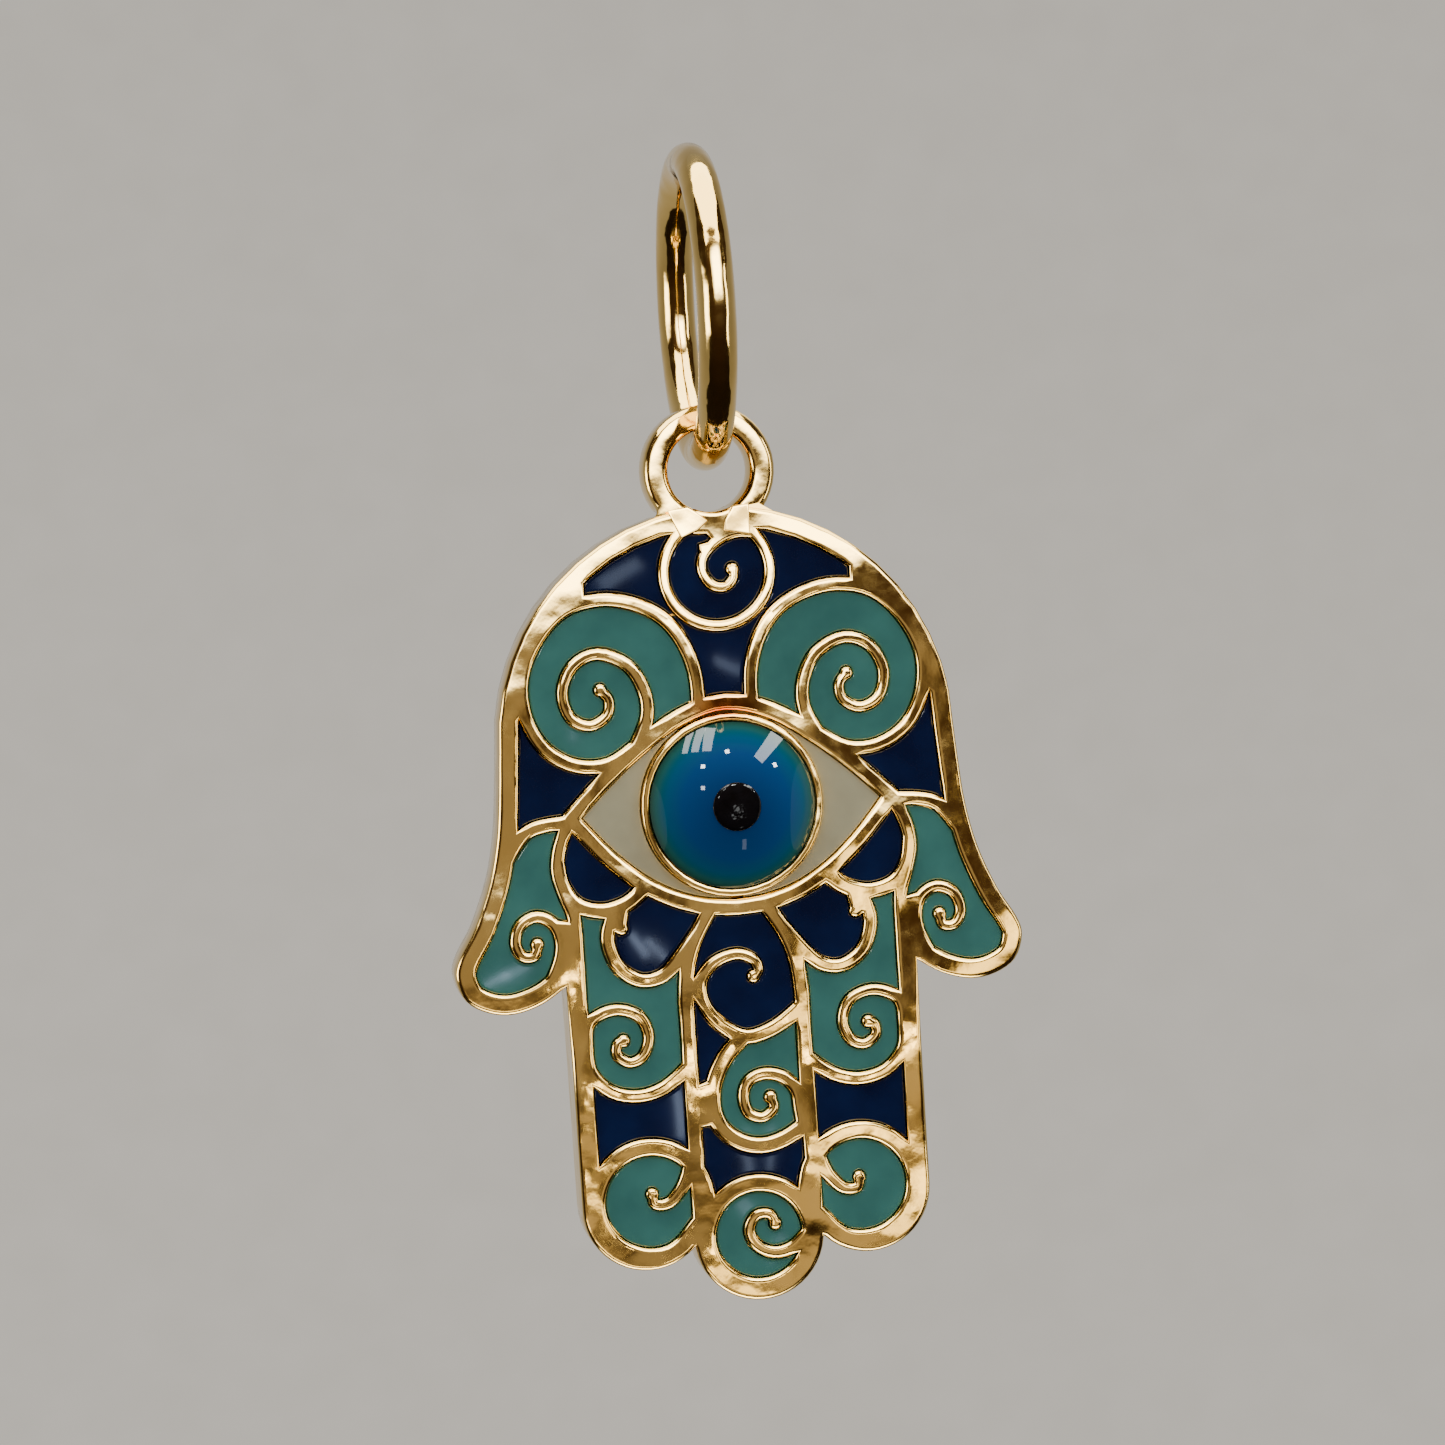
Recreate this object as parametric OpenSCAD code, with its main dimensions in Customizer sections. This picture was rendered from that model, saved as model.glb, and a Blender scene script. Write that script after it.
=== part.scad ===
// Hamsa pendant: a small gold hand with an eye in its palm, enamelled between raised wires,
// hanging by its eyelet from a round wire jump ring.
// Lengths are millimetres. +Z is up, +X is to the right and the enamelled face looks along -Y.
// The origin is the inside top of the jump ring, where a chain carries it.

/* [Hand] */
// Width across the two thumbs
hand_w = 10.5; // [9.4:0.1:14]
// Height from the top of the palm to the middle fingertip
hand_h = 14.6; // [13:0.1:19]
// Thickness of the gold body, back to front
body_t = 1.1; // [0.9:0.05:1.8]
// Depth of the enamel cells below the tops of the wires
cell_depth = 0.6; // [0.35:0.05:0.75]
// Width of the rim round the hand
rim_w = 0.36; // [0.28:0.02:0.44]

/* [Wires] */
// Width of a scroll wire where it leaves the rim
wire_w = 0.25; // [0.18:0.01:0.3]
// Width of a scroll wire at its free end
wire_end_w = 0.17; // [0.12:0.01:0.22]
// Diameter of the small ball that closes a free end
ball_d = 0.23; // [0.16:0.01:0.3]
// Width of the two lids of the eye
lid_w = 0.3; // [0.22:0.01:0.38]
// Width of the straight dividers between the fingers
divider_w = 0.28; // [0.2:0.01:0.36]
// Width of the ring at the top of the palm
crown_w = 0.2; // [0.15:0.01:0.26]
// Width of the rings in the three fingertips
tip_ring_w = 0.32; // [0.24:0.01:0.4]

/* [Eye] */
// Diameter of the domed iris
iris_d = 3.04; // [2.6:0.02:3.2]
// Height of the dome of the iris over its bezel
iris_h = 0.62; // [0.3:0.02:0.9]
// Wall of the bezel round the iris
bezel_w = 0.13; // [0.09:0.01:0.16]
// Height of the bezel above the wires
bezel_h = 0.08; // [0.04:0.01:0.2]
// Diameter of the pupil
pupil_d = 0.94; // [0.6:0.02:1.2]
// Depth of the pupil's seat in the iris
pupil_depth = 0.4; // [0.25:0.01:0.5]

/* [Enamel] */
// How far the enamel lies below the tops of the wires
recess = 0.07; // [0.03:0.01:0.15]
// Clearance between a piece and the gold round it
fit = 0.02; // [0.01:0.005:0.03]
// Half the width of the narrowest corner that enamel runs into
corner = 0.04; // [0.02:0.01:0.06]

/* [Eyelet and jump ring] */
// Hole of the eyelet
eyelet_d = 1.52; // [1.2:0.02:2]
// Width of the eyelet's band
eyelet_w = 0.45; // [0.35:0.01:0.6]
// Thickness of the eyelet, back to front
eyelet_t = 0.86; // [0.6:0.02:0.9]
// Drop from the middle of the eyelet to the top of the palm
eyelet_drop = 0.66; // [0.5:0.02:0.9]
// Inside diameter of the jump ring
ring_d = 4.6; // [4:0.1:7]
// Wire of the jump ring
ring_wire = 0.7; // [0.5:0.02:0.8]
// Running gap between the eyelet and the jump ring that carries it
hang_gap = 0.07; // [0.06:0.01:0.12]

/* [Hidden] */

GOLD = "#c8963c";
NAVY = "#101a3c";
TEAL = "#336a66";
CREAM = "#b8b09a";
IRIS_BLUE = "#005a94";
BLACK = "#0a0a0c";

$fn = 96;

// Heights of the parts that hang one from another
ring_z = -ring_d / 2;
eyelet_z = -ring_d + hang_gap - eyelet_d / 2;
palm_top = eyelet_z - eyelet_drop;

// Heights over the back of the hand
floor_h = body_t - cell_depth;
enamel_h = body_t - recess;
bezel_top = body_t + bezel_h;
iris_top = bezel_top + iris_h;
// The dome of the iris is part of a ball that is as wide as the iris at the bezel
iris_r = iris_d / 2;
bezel_r = iris_r + fit + bezel_w;
ball_r = (iris_r * iris_r + iris_h * iris_h) / (2 * iris_h);

// The drawing is laid out in squares, GRID_W across the hand and GRID_H down from the top
// of the palm, so every place in it is a share of the hand's width and height.
GRID_W = 105;
GRID_H = 146;
// Points that a curve gets between two places of its route
STEPS = 4;
// Degrees between the points of a circle in the drawing
TURN = 7.5;

// A place of the drawing in millimetres
function at(p) = [p[0] / GRID_W * hand_w, -p[1] / GRID_H * hand_h];
function across(route) = [for (p = route) [-p[0], p[1]]];
function backwards(route) = [for (i = [len(route) - 1 : -1 : 0]) route[i]];
function end_of(route) = route[len(route) - 1];
// A route that ends on the middle line, carried on to the other side
function whole(route) = concat(route, [for (i = [len(route) - 2 : -1 : 0]) [-route[i][0], route[i][1]]]);

// Smooth curve through the places of a route
function bend(a, b, c, d, t) =
    b + (c - a) * t / 2 + (a * 2 - b * 5 + c * 4 - d) * t * t / 2
    + (b * 3 - a - c * 3 + d) * t * t * t / 2;
function curve(route) = let (last = len(route) - 1) [
    for (i = [0 : last - 1])
        let (a = route[max(i - 1, 0)], b = route[i], c = route[i + 1], d = route[min(i + 2, last)])
            for (k = [0 : STEPS - 1]) bend(a, b, c, d, k / STEPS),
    route[last]
];
function round_of(middle, r) = [for (a = [0 : TURN : 359]) middle + r * [cos(a), sin(a)]];

// Outline of the hand, left half
PALM_MIDDLE = [0, 42];
PALM_R = 42;
TIP_MIDDLE = [-20.5, 127];
TIP_R = 11.8;
LONG_TIP_MIDDLE = [0, 134];
LONG_TIP_R = 12;
THUMB_OUTLINE = [
    [-41.4, 35], [-42, 42], [-42.6, 50], [-43.4, 57.5], [-45.2, 65.5], [-48.4, 73.5], [-51.6, 79],
    [-52.5, 82.6], [-50.9, 86.9], [-47, 89.3], [-42.3, 89.9], [-37, 88.4], [-32.6, 85.6]
];
BLOCK_OUTLINE = [[-32.6, 80], [-32.4, 100], [-32.3, 127]];

// Routes of the wires, left half, each along the middle of its wire
UPPER_LID = [[-29.8, 55], [-23.3, 48.7], [-16.4, 43], [-8.5, 37.9], [0, 35.7]];
LOWER_LID = [[-29.8, 55], [-23, 62.9], [-16, 68.7], [-8.5, 72.2], [0, 73.4]];
SCROLL_LOOP = [
    [-4.9, 36.5], [-5.2, 30], [-7.2, 24], [-10.8, 19.4], [-16, 16.6], [-22, 15.6], [-28.5, 17.2],
    [-33.7, 22.1], [-36.9, 29], [-36.6, 36.2], [-33.4, 42.2], [-28, 45.5], [-22, 45.6], [-16.8, 42.6]
];
SCROLL_CURL = [
    [-14.5, 37.5], [-14.8, 32.5], [-17.5, 27.8], [-22.8, 25.4], [-27.5, 27.3], [-29.7, 32],
    [-28.5, 36.7], [-25, 38.4], [-21.9, 36.8], [-21.3, 34], [-22.8, 32]
];
THUMB_ARCH = [[-41.6, 61.5], [-38.3, 57.3], [-34.8, 56], [-29.8, 55.6]];
PALM_EDGE = [[-29.8, 55], [-32, 60], [-32.7, 64.5], [-31.6, 69], [-30.3, 73], [-30.1, 80], [-30.1, 88]];
THUMB_CURL = [
    [-41, 88.4], [-36.4, 86], [-33.8, 81.8], [-32.9, 77.8], [-33.9, 74.2], [-37, 72.4],
    [-40.2, 73.8], [-41.3, 77], [-40.1, 79.5], [-37.9, 79.6], [-37.3, 77.5]
];
THUMB_WEB = [[-34.5, 73], [-30.5, 74], [-30.5, 88], [-38, 88.6], [-34.6, 84], [-33, 77]];
PETAL = [[-32.6, 63], [-31.9, 67.2], [-29.4, 70.9], [-24.9, 72.3], [-20.4, 71.3], [-17.4, 69]];
LEAF = [
    [-22.2, 72.2], [-24.1, 75.6], [-24.2, 79.2], [-22.4, 83.2], [-18.6, 85.6], [-14.5, 84.9], [-11.2, 81.6],
    [-9, 78.8], [-7, 76.4]
];
LEAF_CURL = [[-21, 72.4], [-21.4, 74.2], [-21.7, 75.8]];
LEAF_WEB = [[-24.2, 76.4], [-22.2, 71.6], [-20.2, 72], [-21.2, 76.4]];
DIVIDER_TOP = [[-5.4, 73.8], [-8.3, 78.6], [-10, 83.4], [-10.7, 89]];
DIVIDER = concat(DIVIDER_TOP, [[-10.7, 97], [-10.7, 130]]);
FINGER_LOOP = [[-10.7, 101.7], [-15.5, 105.4], [-20.5, 106.7], [-25.5, 105.5], [-28.9, 101.8]];
FINGER_CURL = [
    [-29.4, 97], [-28.9, 92.9], [-26.2, 91], [-22.8, 90.6], [-19.3, 92.3], [-18, 96],
    [-19.3, 99.4], [-21.8, 100.4], [-24, 98.9], [-23.9, 96.9], [-22.7, 96.3]
];
TIP_CURL = [[-12, 120.4], [-13.6, 124], [-16.2, 126.7], [-18.8, 126.8], [-19.3, 124.9]];
TIP_RING_MIDDLE = [-19.5, 126.3];
TIP_RING_R = 10.1;

// Routes of the wires that have no twin on the other side
CROWN_MIDDLE = [0, 12];
CROWN_R = 9.8;
CROWN_CURL = [
    [7.6, 5.2], [4, 5], [0.4, 6.3], [-2.2, 8.8], [-2.6, 11.6], [-1, 14.2], [1.4, 14.7], [3, 13.2],
    [2.9, 11.6]
];
CROWN_SPUR = [[-0.4, 6.2], [-3, 6.8], [-2.9, 10]];
CROWN_WEB = [[-7, 2], [9, 2], [7.5, 6], [3, 5.4], [0, 6.4], [-1.5, 4.9], [-5.5, 4.7]];
PALM_HOOK_ROOT = [[10.7, 92.4], [5.5, 96], [0, 97.4], [-4.6, 94.8], [-7.5, 90.6]];
PALM_HOOK = [[-7.7, 86.4], [-5.1, 83.3], [-1, 82], [2.1, 83.2], [3, 85.2], [2, 86.4]];
PALM_LOOP = [
    [-0.6, 97.4], [-4, 100.6], [-6.4, 105], [-7, 109.6], [-5.8, 113.6], [-2.6, 116.5], [1.5, 117.6],
    [6, 116.6], [10.7, 113.8]
];
PALM_WEB = [[-10.7, 106], [-6.4, 104.4], [-6.2, 113], [-10.7, 113.4]];
PALM_CURL = [
    [9.5, 115], [9, 111], [8.6, 108], [6.6, 105.5], [3.2, 104.4], [0, 105.4], [-1.3, 108.2], [-0.5, 111.4], [2.1, 112.4],
    [4.2, 110.8], [3.7, 108.8]
];
LONG_TIP_RING_R = 9.6;
LONG_TIP_CURL = [
    [9, 134.4], [6, 136.9], [2.4, 137.5], [-0.7, 135.8], [-1.8, 132.8], [-0.3, 130.4], [2.2, 130.4],
    [3.1, 132.2]
];

// Areas that the cells are cut from, each edge inside the wire that parts it from the next
EYE_MIDDLE = [0, 54.6];
EYE_AREA = concat(curve(whole(UPPER_LID)), backwards(curve(whole(LOWER_LID))));
RIGHT_OF_EYE = [[0, 30], [40, 30], [40, 80], [0, 80]];
CROWN_AREA = round_of(CROWN_MIDDLE, CROWN_R);
SCROLL_AREA = curve(SCROLL_LOOP);
THUMB_AREA = concat(curve(THUMB_ARCH), curve(PALM_EDGE), [[-30.2, 95], [-60, 95], [-60, 61.5]]);
PALM_AREA = concat(
    backwards(curve(DIVIDER_TOP)), across(curve(DIVIDER_TOP)), curve(PALM_HOOK_ROOT)
);
PETAL_AREA = concat([[-36, 55], [-36, 63]], curve(PETAL), [[-16, 60]]);
LEAF_AREA = concat(curve(LEAF), [[0, 82], [0, 66], [-22.2, 66]]);
FINGER_AREA = concat([[-40, 70], [-10.7, 70]], curve(FINGER_LOOP), [[-40, 102.4]]);
TIP_AREA = round_of(TIP_RING_MIDDLE, TIP_RING_R);
LONG_TIP_AREA = round_of(LONG_TIP_MIDDLE, LONG_TIP_RING_R);
BAND_AREA = [[-40, 98], [-10.7, 98], [-10.7, 127], [-40, 127]];
BROW_LOW = 19.3;
BROW_AREA = [[-24.5, -2], [0, -2], [0, BROW_LOW], [-24.5, BROW_LOW]];
CHEEK_AREA = [[-45, 33], [-20, 33], [-20, 50], [-29.8, 55.6], [-45, 64]];
BRIDGE_AREA = [[-9, BROW_LOW], [9, BROW_LOW], [9, 37], [-9, 37]];
PALM_LOOP_AREA = concat(curve(PALM_LOOP), [[10.7, 91], [-0.6, 91]]);
SLIVER_AREA = [[-10.7, 88], [0, 88], [0, 110], [-10.7, 110]];
MIDDLE_BAND_AREA = [[-10.7, 110], [10.7, 110], [10.7, 134], [-10.7, 134]];

module area(route) {
    polygon([for (q = route) at(q)]);
}

module both() {
    children();
    mirror([1, 0]) children();
}

// A wire that runs along a route and narrows from one width to another
module wire(route, w0 = wire_w, w1 = wire_w) {
    p = [for (q = curve(route)) at(q)];
    n = len(p) - 1;
    side = [
        for (i = [0 : n])
            let (d = p[min(i + 1, n)] - p[max(i - 1, 0)], w = w0 + (w1 - w0) * i / n)
                [-d[1], d[0]] / norm(d) * w / 2
    ];
    polygon(concat([for (i = [0 : n]) p[i] + side[i]], [for (i = [n : -1 : 0]) p[i] - side[i]]));
}

// A scroll wire with a small ball on its free end
module curl(route, w0 = wire_w) {
    wire(route, w0, wire_end_w);
    translate(at(end_of(route))) circle(d = ball_d, $fn = 16);
}

module ring_wire_2d(middle, r, w) {
    difference() {
        offset(delta = w / 2) area(round_of(middle, r));
        offset(delta = -w / 2) area(round_of(middle, r));
    }
}

// Outline of the whole hand
module hand_2d() {
    offset(delta = corner) offset(delta = -corner) union() {
        area(round_of(PALM_MIDDLE, PALM_R));
        area(round_of(LONG_TIP_MIDDLE, LONG_TIP_R));
        both() {
            area(concat(curve(THUMB_OUTLINE), [[0, 85.6], [0, 35]]));
            area(concat(BLOCK_OUTLINE, [[-9, 129], [0, 134], [0, 80]]));
            area(round_of(TIP_MIDDLE, TIP_R));
        }
    }
}

// All the wires that stand between the enamels
module wires_2d() {
    both() {
        wire(SCROLL_LOOP);
        curl(concat([end_of(SCROLL_LOOP)], SCROLL_CURL));
        wire(THUMB_ARCH);
        wire(PALM_EDGE);
        curl(THUMB_CURL);
        area(THUMB_WEB);
        wire(PETAL, wire_w, lid_w);
        wire(LEAF);
        curl(LEAF_CURL, wire_end_w);
        area(LEAF_WEB);
        wire(DIVIDER, divider_w, divider_w);
        curl(concat(FINGER_LOOP, FINGER_CURL));
        ring_wire_2d(TIP_RING_MIDDLE, TIP_RING_R, tip_ring_w);
        curl(TIP_CURL);
        translate(at(UPPER_LID[0])) circle(d = lid_w, $fn = 16);
    }
    wire(whole(UPPER_LID), lid_w, lid_w);
    wire(whole(LOWER_LID), lid_w, lid_w);
    ring_wire_2d(CROWN_MIDDLE, CROWN_R, crown_w);
    curl(CROWN_CURL, crown_w);
    area(CROWN_SPUR);
    area(CROWN_WEB);
    curl(concat(PALM_HOOK_ROOT, PALM_HOOK), divider_w);
    wire(PALM_LOOP, lid_w, lid_w);
    area(PALM_WEB);
    curl(PALM_CURL);
    ring_wire_2d(LONG_TIP_MIDDLE, LONG_TIP_RING_R, tip_ring_w);
    curl(LONG_TIP_CURL);
}

// The open cell in one area: the areas that lie over it and the wires are taken off
module cell(route, over = []) {
    difference() {
        intersection() {
            area(route);
            offset(delta = -rim_w) hand_2d();
        }
        for (r = over) area(r);
        wires_2d();
    }
}

// Takes off the corners that are too narrow for enamel, and leaves a gap all round. The second
// outline keeps a thin corner from growing past its own cell.
module eased(gap = 0) {
    intersection() {
        offset(delta = corner - gap) offset(delta = -corner) children();
        offset(delta = corner / 10 - gap) children();
    }
}

module eye_white_cell(hole_r) {
    difference() {
        cell(EYE_AREA, [RIGHT_OF_EYE]);
        translate(at(EYE_MIDDLE)) circle(r = hole_r);
    }
}
module crown_cell() { cell(CROWN_AREA); }
module brow_cell() { cell(BROW_AREA, [CROWN_AREA, SCROLL_AREA]); }
module bridge_cell() { cell(BRIDGE_AREA, [CROWN_AREA, SCROLL_AREA, across(SCROLL_AREA), EYE_AREA]); }
module cheek_cell() { cell(CHEEK_AREA, [SCROLL_AREA, EYE_AREA, THUMB_AREA]); }
module petal_cell() { cell(PETAL_AREA, [EYE_AREA, THUMB_AREA]); }
module leaf_cell() { cell(LEAF_AREA, [EYE_AREA, PETAL_AREA, PALM_AREA]); }
module palm_cell() { cell(PALM_AREA, [EYE_AREA]); }
module sliver_cell() { cell(SLIVER_AREA, [PALM_AREA, PALM_LOOP_AREA]); }
module band_cell() { cell(BAND_AREA, [FINGER_AREA, TIP_AREA]); }
module middle_band_cell() { cell(MIDDLE_BAND_AREA, [PALM_LOOP_AREA, LONG_TIP_AREA]); }
module scroll_cell() { cell(SCROLL_AREA, [EYE_AREA]); }
module thumb_cell() { cell(THUMB_AREA); }
module finger_cell() { cell(FINGER_AREA, [EYE_AREA, PETAL_AREA, LEAF_AREA, THUMB_AREA]); }
module palm_loop_cell() { cell(PALM_LOOP_AREA, [PALM_AREA]); }
module tip_cell() { cell(TIP_AREA); }
module long_tip_cell() { cell(LONG_TIP_AREA); }

module cells_2d() {
    both() {
        eye_white_cell(bezel_r - bezel_w / 3);
        brow_cell();
        cheek_cell();
        petal_cell();
        leaf_cell();
        band_cell();
        scroll_cell();
        thumb_cell();
        finger_cell();
        tip_cell();
    }
    crown_cell();
    bridge_cell();
    palm_cell();
    sliver_cell();
    middle_band_cell();
    palm_loop_cell();
    long_tip_cell();
}

// Stands its children up: their height over the back of the hand becomes depth along -Y
module stood_up() {
    translate([0, body_t / 2, palm_top]) rotate([90, 0, 0]) children();
}

module over_eye(h) {
    translate([0, 0, h]) translate(at(EYE_MIDDLE)) children();
}

// The gold hand: back plate, rim, wires, bezel and eyelet are one cast and polished piece
module hand_frame() {
    color(GOLD) difference() {
        union() {
            difference() {
                union() {
                    stood_up() linear_extrude(body_t) hand_2d();
                    translate([0, 0, eyelet_z]) rotate([90, 0, 0])
                        cylinder(d = eyelet_d + 2 * eyelet_w, h = eyelet_t, center = true);
                }
                stood_up() translate([0, 0, floor_h]) linear_extrude(body_t) eased() cells_2d();
            }
            stood_up() over_eye(floor_h / 2) cylinder(r = bezel_r, h = bezel_top - floor_h / 2);
        }
        stood_up() over_eye(floor_h) cylinder(r = iris_r + fit, h = body_t);
        translate([0, 0, eyelet_z]) rotate([90, 0, 0]) cylinder(d = eyelet_d, h = 2 * body_t, center = true);
    }
}

module jump_ring() {
    color(GOLD) translate([0, 0, ring_z]) rotate([0, 90, 0])
        rotate_extrude() translate([(ring_d + ring_wire) / 2, 0]) circle(d = ring_wire);
}

module iris_ball(grow = 0) {
    over_eye(iris_top - ball_r) sphere(r = ball_r + grow);
}

module iris() {
    color(IRIS_BLUE) stood_up() difference() {
        intersection() {
            over_eye(floor_h + fit) cylinder(r = iris_r, h = iris_top);
            iris_ball();
        }
        over_eye(iris_top - pupil_depth) cylinder(d = pupil_d, h = iris_top);
    }
}

module pupil() {
    color(BLACK) stood_up() intersection() {
        over_eye(iris_top - pupil_depth + fit) cylinder(d = pupil_d - 2 * fit, h = iris_top);
        iris_ball(fit);
    }
}

// Enamel that fills one cell, with its clearance to the gold
module enamel(paint) {
    color(paint) stood_up() translate([0, 0, floor_h + fit]) linear_extrude(enamel_h - floor_h - fit)
        eased(fit) children();
}

jump_ring();
hand_frame();
iris();
pupil();
enamel(CREAM) eye_white_cell(bezel_r);  // eye_white_left
enamel(CREAM) mirror([1, 0]) eye_white_cell(bezel_r);  // eye_white_right
enamel(NAVY) crown_cell();  // navy_crown
enamel(NAVY) brow_cell();  // navy_brow_left
enamel(NAVY) mirror([1, 0]) brow_cell();  // navy_brow_right
enamel(NAVY) bridge_cell();  // navy_bridge
enamel(NAVY) cheek_cell();  // navy_cheek_left
enamel(NAVY) mirror([1, 0]) cheek_cell();  // navy_cheek_right
enamel(NAVY) petal_cell();  // navy_petal_left
enamel(NAVY) mirror([1, 0]) petal_cell();  // navy_petal_right
enamel(NAVY) leaf_cell();  // navy_leaf_left
enamel(NAVY) mirror([1, 0]) leaf_cell();  // navy_leaf_right
enamel(NAVY) palm_cell();  // navy_palm
enamel(NAVY) sliver_cell();  // navy_sliver
enamel(NAVY) band_cell();  // navy_band_left
enamel(NAVY) middle_band_cell();  // navy_band_middle
enamel(NAVY) mirror([1, 0]) band_cell();  // navy_band_right
enamel(TEAL) scroll_cell();  // teal_scroll_left
enamel(TEAL) mirror([1, 0]) scroll_cell();  // teal_scroll_right
enamel(TEAL) thumb_cell();  // teal_thumb_left
enamel(TEAL) mirror([1, 0]) thumb_cell();  // teal_thumb_right
enamel(TEAL) finger_cell();  // teal_finger_left
enamel(TEAL) mirror([1, 0]) finger_cell();  // teal_finger_right
enamel(TEAL) palm_loop_cell();  // teal_palm
enamel(TEAL) tip_cell();  // teal_tip_left
enamel(TEAL) long_tip_cell();  // teal_tip_middle
enamel(TEAL) mirror([1, 0]) tip_cell();  // teal_tip_right
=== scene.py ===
# %% [markdown]
# A hamsa pendant: a small hand of cast gold, about as wide as a fingernail. Raised wires on its
# front part the enamels, a domed glass eye sits in a bezel in the palm, and an eyelet at the top
# hangs on a round wire jump ring. The solid model gives every piece its place and size, so this
# script starts from its frame and makes the surfaces: rounded and polished wires, fired enamel
# that lies a little below them, and the glossy dome of the eye.

# %% Load the frame
import math

import bmesh
import bpy
from mathutils import Matrix, Vector


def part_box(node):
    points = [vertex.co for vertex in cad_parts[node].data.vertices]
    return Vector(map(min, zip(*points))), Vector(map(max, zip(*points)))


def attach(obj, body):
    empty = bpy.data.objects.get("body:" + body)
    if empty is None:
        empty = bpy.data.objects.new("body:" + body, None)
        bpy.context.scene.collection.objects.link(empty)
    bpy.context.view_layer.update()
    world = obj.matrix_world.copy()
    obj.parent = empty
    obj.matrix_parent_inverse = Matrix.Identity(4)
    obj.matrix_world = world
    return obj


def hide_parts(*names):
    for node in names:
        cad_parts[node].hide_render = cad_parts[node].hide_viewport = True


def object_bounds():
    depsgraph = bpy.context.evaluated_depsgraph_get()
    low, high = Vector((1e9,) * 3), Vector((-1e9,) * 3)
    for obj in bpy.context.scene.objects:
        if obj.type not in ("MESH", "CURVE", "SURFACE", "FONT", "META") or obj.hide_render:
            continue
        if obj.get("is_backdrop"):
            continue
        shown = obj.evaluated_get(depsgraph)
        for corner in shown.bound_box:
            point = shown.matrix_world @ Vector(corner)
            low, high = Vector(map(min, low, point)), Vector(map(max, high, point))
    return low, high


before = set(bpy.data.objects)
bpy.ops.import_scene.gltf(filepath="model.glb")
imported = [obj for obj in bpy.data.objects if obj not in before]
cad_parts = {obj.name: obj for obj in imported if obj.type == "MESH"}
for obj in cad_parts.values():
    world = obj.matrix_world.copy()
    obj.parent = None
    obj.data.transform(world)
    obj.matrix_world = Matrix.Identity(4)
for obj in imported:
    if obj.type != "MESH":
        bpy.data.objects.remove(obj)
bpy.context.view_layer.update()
MM = 0.001

# %% [markdown]
# Everything hangs from the origin, and the enamelled face looks along -Y. The pieces share a few
# depths along Y and the place of the eye. They are read from the boxes of the solid pieces where
# a box gives them: an enamel's box gives the level of the enamel, the iris gives the middle of
# the eye, and the pupil gives the top of the dome.

# %% Levels and places
FRONT = -0.55 * MM
BACK = 0.55 * MM
EYELET_FRONT = -0.43 * MM
ENAMEL_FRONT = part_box("navy_palm")[0].y
iris_low, iris_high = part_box("iris")
EYE_MIDDLE = Vector(((iris_low.x + iris_high.x) / 2, 0, (iris_low.z + iris_high.z) / 2))
IRIS_R = (iris_high.x - iris_low.x) / 2
PUPIL_PROUD = 0.02 * MM
IRIS_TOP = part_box("pupil")[0].y + PUPIL_PROUD
IRIS_BASE = iris_high.y
BEZEL_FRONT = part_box("hand_frame")[0].y
print("enamel lies", round((ENAMEL_FRONT - FRONT) / MM, 3), "mm below the wires")


# %% [markdown]
# An operator works on all that is selected, and the frame leaves its own pieces selected. These
# helpers leave one object active, open it in edit mode and pick faces by where they are. A face
# counts as looking along Y when nearly all of its normal does.

# %% Helpers for modelling
STRAIGHT = 0.99
LEVEL = 0.01 * MM


def only(obj):
    """Makes obj the one selected and active object."""
    bpy.ops.object.select_all(action="DESELECT")
    obj.select_set(True)
    bpy.context.view_layer.objects.active = obj


def edit(obj):
    """Opens obj in edit mode with nothing selected."""
    only(obj)
    bpy.ops.object.mode_set(mode="EDIT")
    bpy.ops.mesh.select_mode(type="FACE")
    bpy.ops.mesh.select_all(action="DESELECT")


def leave():
    """Goes back to object mode, which writes the edits into the mesh."""
    bpy.ops.object.mode_set(mode="OBJECT")


def pick_faces(obj, wanted):
    """Selects the faces of an object in edit mode for which wanted is true."""
    shape = bmesh.from_edit_mesh(obj.data)
    for face in shape.faces:
        face.select_set(wanted(face))
    bmesh.update_edit_mesh(obj.data)
    return sum(face.select for face in shape.faces)


def pick_edges(obj, wanted):
    """Selects the edges of an object in edit mode for which wanted is true."""
    bpy.ops.mesh.select_mode(type="EDGE")
    shape = bmesh.from_edit_mesh(obj.data)
    for edge in shape.edges:
        edge.select_set(wanted(edge))
    bmesh.update_edit_mesh(obj.data)
    return sum(edge.select for edge in shape.edges)


def looks_along(face, sign, depth):
    """True for a flat face that looks along Y in the direction of sign and lies at depth."""
    straight = face.normal.y * sign > STRAIGHT
    level = abs(face.calc_center_median().y - depth) < LEVEL
    return straight and level


def smooth(obj, degrees=35):
    """Smooth shading with edges sharper than some degrees left crisp, and flat faces kept flat."""
    only(obj)
    bpy.ops.object.shade_smooth_by_angle(angle=math.radians(degrees))
    bpy.ops.object.modifier_add(type="WEIGHTED_NORMAL")
    obj.modifiers[-1].keep_sharp = True
    bpy.ops.object.modifier_apply(modifier=obj.modifiers[-1].name)


def settle(obj, body, slot, *nodes):
    """Puts a finished piece on its body and hides the solid pieces that it stands for; slot, the name
    of its finish, is not used.
    """
    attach(obj, body)
    if nodes:
        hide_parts(*nodes)


print("a face is level with a depth within", round(LEVEL / MM, 3), "mm of it")

# %% [markdown]
# A solid piece arrives as loose triangles. A copy of it is merged into one skin, which is then
# real stock to work on, while the solid itself stays untouched for the motion checks. An inset
# treats the triangles of a flat face that are selected together as one face, so they can stay.

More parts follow.
